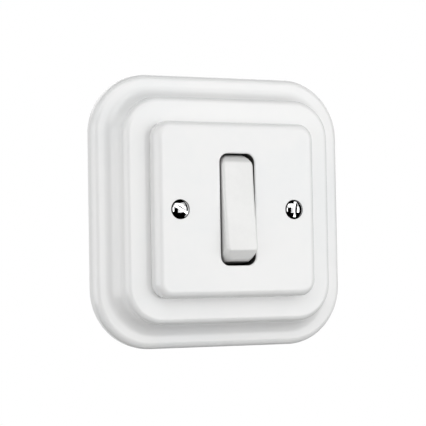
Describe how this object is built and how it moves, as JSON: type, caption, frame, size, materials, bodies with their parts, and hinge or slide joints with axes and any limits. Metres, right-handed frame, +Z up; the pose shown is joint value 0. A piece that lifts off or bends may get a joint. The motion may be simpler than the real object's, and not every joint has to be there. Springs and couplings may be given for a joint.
{
  "type": "ceramic two-way switch",
  "caption": "Flush wall switch: stepped white porcelain surround, square porcelain cover, narrow white rocker, and chrome slotted cover screws.",
  "frame": {"origin": "middle of the switch on the wall face, where the rear faces of the support ring and of the porcelain surround lie", "axes": "+X to the right as seen from the room, +Y into the wall, +Z up the wall"},
  "size_m": [0.1, 0.0437, 0.1],
  "materials": {
    "glazed_porcelain": "glossy white glaze",
    "rocker_white": "glossy white thermoset",
    "chrome_plate": "polished chrome",
    "zinc_steel": "bright zinc plate",
    "pin_steel": "ground steel",
    "brass": "bare drawn brass",
    "silver": "silver",
    "housing_black": "black moulded phenolic",
    "bare_ceramic": "unglazed steatite",
    "plunger_white": "natural nylon",
    "spring_steel": "spring wire"
  },
  "bodies": {
    "switch": {"surround_frame": "glazed_porcelain", "cover_plate": "glazed_porcelain", "cover_screw_left": "chrome_plate", "cover_screw_right": "chrome_plate", "support_ring": "zinc_steel", "pillar_left": "brass", "pillar_right": "brass", "bearing_frame": "housing_black", "pivot_pin": "pin_steel", "contact_block": "bare_ceramic", "terminal_common": "brass", "terminal_upper": "brass", "terminal_lower": "brass", "fixed_contact_upper": "silver", "fixed_contact_lower": "silver", "terminal_screw_common": "zinc_steel", "terminal_screw_upper": "zinc_steel", "terminal_screw_lower": "zinc_steel", "assembly_screw_1": "zinc_steel", "assembly_screw_2": "zinc_steel", "assembly_screw_3": "zinc_steel", "assembly_screw_4": "zinc_steel"},
    "rocker": {"rocker": "rocker_white", "plunger_spring": "spring_steel"},
    "plunger": {"plunger": "plunger_white"},
    "blade": {"contact_blade": "brass", "moving_contact_upper": "silver", "moving_contact_lower": "silver"}
  },
  "joints": [
    {"name": "rocker", "type": "hinge", "parent": "switch", "child": "rocker", "pos_m": [0, -0.0122, 0], "axis": [1, 0, 0], "range_deg": [0, 12.4]},
    {"name": "blade", "type": "hinge", "parent": "switch", "child": "blade", "pos_m": [0, 0.00367, 0], "axis": [1, 0, 0], "range_deg": [-17, 0]},
    {"name": "plunger", "type": "slide", "parent": "rocker", "child": "plunger", "axis": [0, -0.9942, 0.108], "range_m": [0, 0.0008], "stiffness_N_per_m": 500, "deforming": ["plunger_spring"]}
  ],
  "couplings": [
    {"joint": "blade", "follows": "rocker", "ratio": -1.371}
  ]
}
